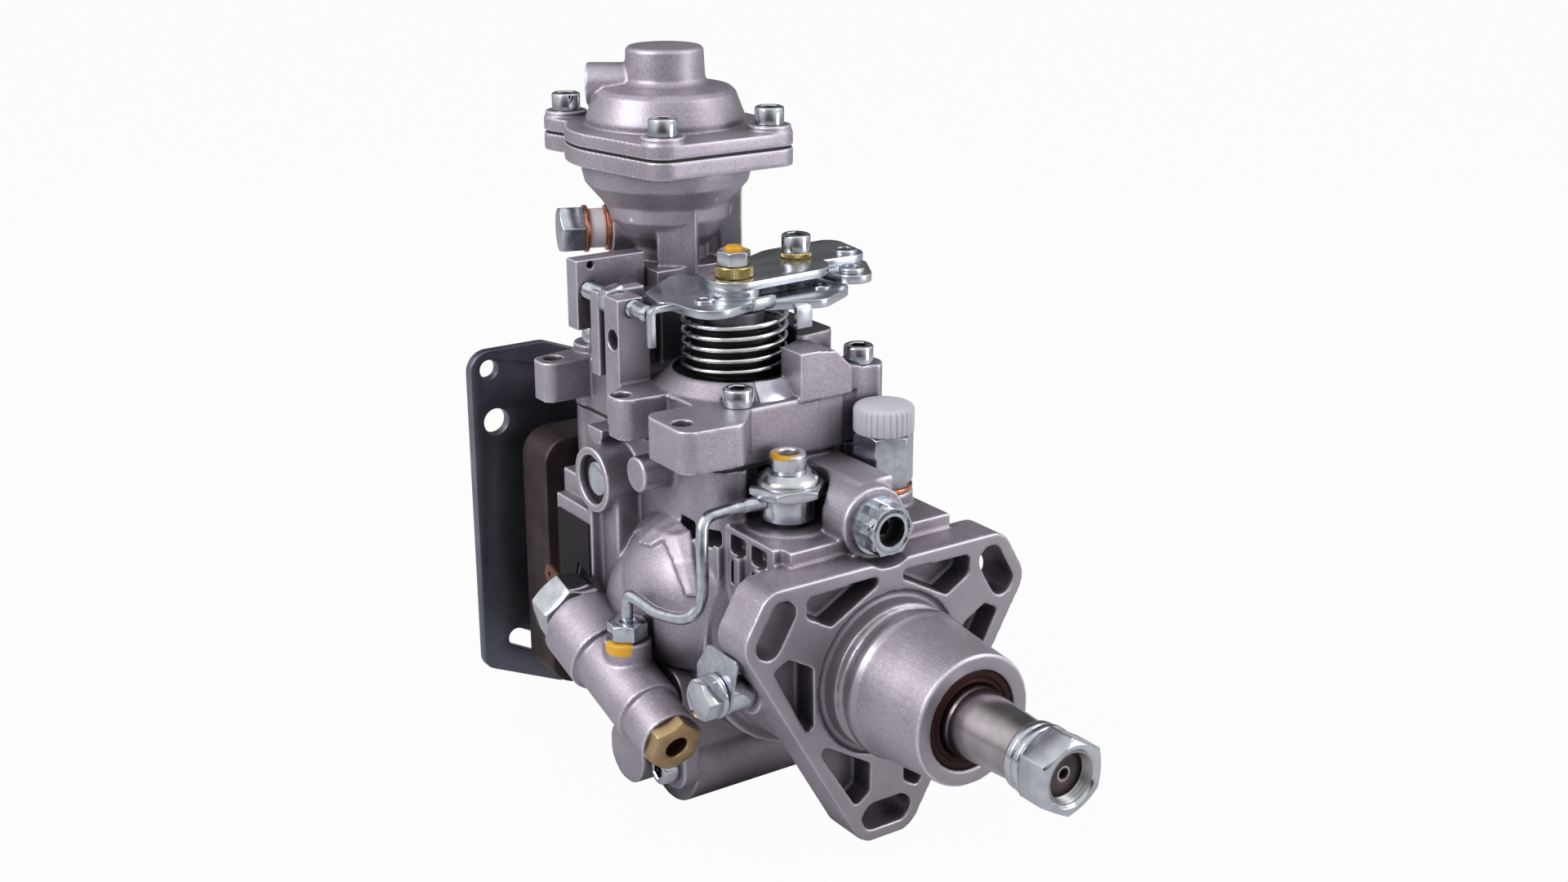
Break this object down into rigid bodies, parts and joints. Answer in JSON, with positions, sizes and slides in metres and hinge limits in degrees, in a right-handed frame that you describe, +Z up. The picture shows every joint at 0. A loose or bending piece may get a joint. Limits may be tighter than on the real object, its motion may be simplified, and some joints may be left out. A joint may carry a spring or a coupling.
{
  "type": "fuel injection pump",
  "caption": "Rotary distributor diesel injection pump with slotted mounting flange, tapered drive shaft, spring-loaded control lever and a boost compensator on top.",
  "frame": {"origin": "on the drive shaft's axis, in the plane of the mounting flange's front face", "axes": "-Y along the drive shaft towards its free end, +Z up towards the boost compensator, +X to the right seen from the shaft end"},
  "size_m": [0.1274, 0.2682, 0.248],
  "materials": {
    "cast_aluminium": "bead-blasted casting, satin on machined faces",
    "steel": "ground steel",
    "dark_steel": "hardened steel",
    "zinc": "bright zinc plating",
    "bearing_bronze": "sintered bronze",
    "seal_rubber": "moulded rubber",
    "gasket": "moulded rubber",
    "head_casting": "machined casting",
    "brass": "turned brass",
    "copper": "plain copper",
    "cap_plastic": "moulded plastic",
    "seat_plastic": "moulded plastic",
    "plate_foil": "bare dark plate",
    "bracket_paint": "dark plated sheet steel"
  },
  "bodies": {
    "pump": {"pump_housing": "cast_aluminium", "front_bush": "bearing_bronze", "shaft_seal": "seal_rubber", "pump_liner": "steel", "pump_cover_plate": "steel", "governor_shaft": "zinc", "distributor_head": "head_casting", "delivery_holders": "zinc", "shutoff_solenoid": "zinc", "timing_cover": "cast_aluminium", "cold_start_body": "cast_aluminium", "cold_start_heater": "zinc", "brass_plug": "brass", "pressure_valve": "zinc", "cold_start_pipe": "zinc", "inlet_union": "zinc", "inlet_cap": "cap_plastic", "seal_washers": "copper", "lock_bolt": "zinc", "governor_cover": "cast_aluminium", "cover_gasket": "gasket", "socket_screws": "zinc", "boost_cap": "cast_aluminium", "boost_diaphragm": "gasket", "return_union": "zinc", "core_plug": "zinc", "name_plate": "plate_foil", "rear_bracket": "bracket_paint", "inner_springs": "dark_steel", "return_spring": "zinc", "spring_seat": "seat_plastic", "speed_screw": "zinc"},
    "drive": {"drive_shaft": "steel", "shaft_nut": "zinc", "pump_rotor": "dark_steel", "rotor_vanes": "dark_steel", "drive_gear": "dark_steel", "coupling_disc": "dark_steel"},
    "governor": {"governor_carrier": "dark_steel"},
    "flyweight_1": {"flyweight_1": "dark_steel"},
    "flyweight_2": {"flyweight_2": "dark_steel"},
    "flyweight_3": {"flyweight_3": "dark_steel"},
    "flyweight_4": {"flyweight_4": "dark_steel"},
    "sleeve": {"sliding_sleeve": "steel"},
    "governor_lever": {"governor_lever": "dark_steel"},
    "spool": {"control_spool": "steel"},
    "cam": {"cam_plate": "dark_steel", "plunger": "steel"},
    "bridge": {"spring_bridge": "dark_steel"},
    "ring": {"roller_ring": "dark_steel", "cam_rollers": "steel"},
    "timing": {"timing_piston": "steel"},
    "control_lever": {"lever_shaft": "zinc", "lever_plate_lower": "zinc", "lever_plate_upper": "zinc", "lever_fasteners": "zinc"},
    "boost": {"boost_pin": "steel"},
    "shutoff": {"shutoff_armature": "steel"},
    "overflow": {"pressure_piston": "steel"},
    "delivery": {"delivery_valves": "steel"}
  },
  "joints": [
    {"name": "drive_spin", "type": "hinge", "parent": "pump", "child": "drive", "pos_m": [0, 0, 0], "axis": [0, -1, 0], "continuous": true},
    {"name": "governor_spin", "type": "hinge", "parent": "pump", "child": "governor", "pos_m": [0, 0, 0.048], "axis": [0, -1, 0], "continuous": true},
    {"name": "sleeve_slide", "type": "slide", "parent": "pump", "child": "sleeve", "axis": [0, 1, 0], "range_m": [0, 0.003]},
    {"name": "governor_lever_tilt", "type": "hinge", "parent": "pump", "child": "governor_lever", "pos_m": [0, 0.0995, 0.024], "axis": [-1, 0, 0], "range_deg": [0, 7.2]},
    {"name": "spool_slide", "type": "slide", "parent": "pump", "child": "spool", "axis": [0, 1, 0], "range_m": [-0.0018, 0]},
    {"name": "plunger_stroke", "type": "slide", "parent": "drive", "child": "cam", "axis": [0, 1, 0], "range_m": [-0.0022, 0]},
    {"name": "bridge_stroke", "type": "slide", "parent": "pump", "child": "bridge", "axis": [0, 1, 0], "range_m": [-0.0022, 0]},
    {"name": "timing_slide", "type": "slide", "parent": "pump", "child": "timing", "axis": [-1, 0, 0], "range_m": [0, 0.007]},
    {"name": "roller_ring_turn", "type": "hinge", "parent": "pump", "child": "ring", "pos_m": [0, 0.07, 0], "axis": [0, 1, 0], "range_deg": [0, 8.6]},
    {"name": "control_lever_turn", "type": "hinge", "parent": "pump", "child": "control_lever", "pos_m": [-0.01, 0.074, 0.1], "axis": [0, 0, 1], "range_deg": [0, 16], "deforming": ["return_spring"]},
    {"name": "boost_slide", "type": "slide", "parent": "pump", "child": "boost", "axis": [0, 0, 1], "range_m": [-0.005, 0], "deforming": ["boost_diaphragm", "inner_springs"]},
    {"name": "shutoff_lift", "type": "slide", "parent": "pump", "child": "shutoff", "axis": [0, 0, 1], "range_m": [0, 0.002]},
    {"name": "overflow_lift", "type": "slide", "parent": "pump", "child": "overflow", "axis": [0, 0, 1], "range_m": [0, 0.002]},
    {"name": "delivery_lift", "type": "slide", "parent": "pump", "child": "delivery", "axis": [0, 1, 0], "range_m": [0, 0.001]},
    {"name": "flyweight_1_swing", "type": "hinge", "parent": "governor", "child": "flyweight_1", "pos_m": [0, 0.0613, 0.0635], "axis": [1, 0, 0], "range_deg": [0, 21.6]},
    {"name": "flyweight_2_swing", "type": "hinge", "parent": "governor", "child": "flyweight_2", "pos_m": [0.0155, 0.0613, 0.048], "axis": [0, 0, -1], "range_deg": [0, 21.6]},
    {"name": "flyweight_3_swing", "type": "hinge", "parent": "governor", "child": "flyweight_3", "pos_m": [0, 0.0613, 0.0325], "axis": [-1, 0, 0], "range_deg": [0, 21.6]},
    {"name": "flyweight_4_swing", "type": "hinge", "parent": "governor", "child": "flyweight_4", "pos_m": [-0.0155, 0.0613, 0.048], "axis": [0, 0, 1], "range_deg": [0, 21.6]}
  ],
  "couplings": [
    {"joint": "governor_spin", "follows": "drive_spin", "ratio": -1.6667},
    {"joint": "governor_lever_tilt", "follows": "sleeve_slide", "rad_per_m": 41.6},
    {"joint": "spool_slide", "follows": "sleeve_slide", "ratio": -0.58},
    {"joint": "bridge_stroke", "follows": "plunger_stroke", "ratio": 1},
    {"joint": "roller_ring_turn", "follows": "timing_slide", "rad_per_m": 21.2},
    {"joint": "flyweight_1_swing", "follows": "sleeve_slide", "rad_per_m": 125},
    {"joint": "flyweight_2_swing", "follows": "sleeve_slide", "rad_per_m": 125},
    {"joint": "flyweight_3_swing", "follows": "sleeve_slide", "rad_per_m": 125},
    {"joint": "flyweight_4_swing", "follows": "sleeve_slide", "rad_per_m": 125}
  ]
}
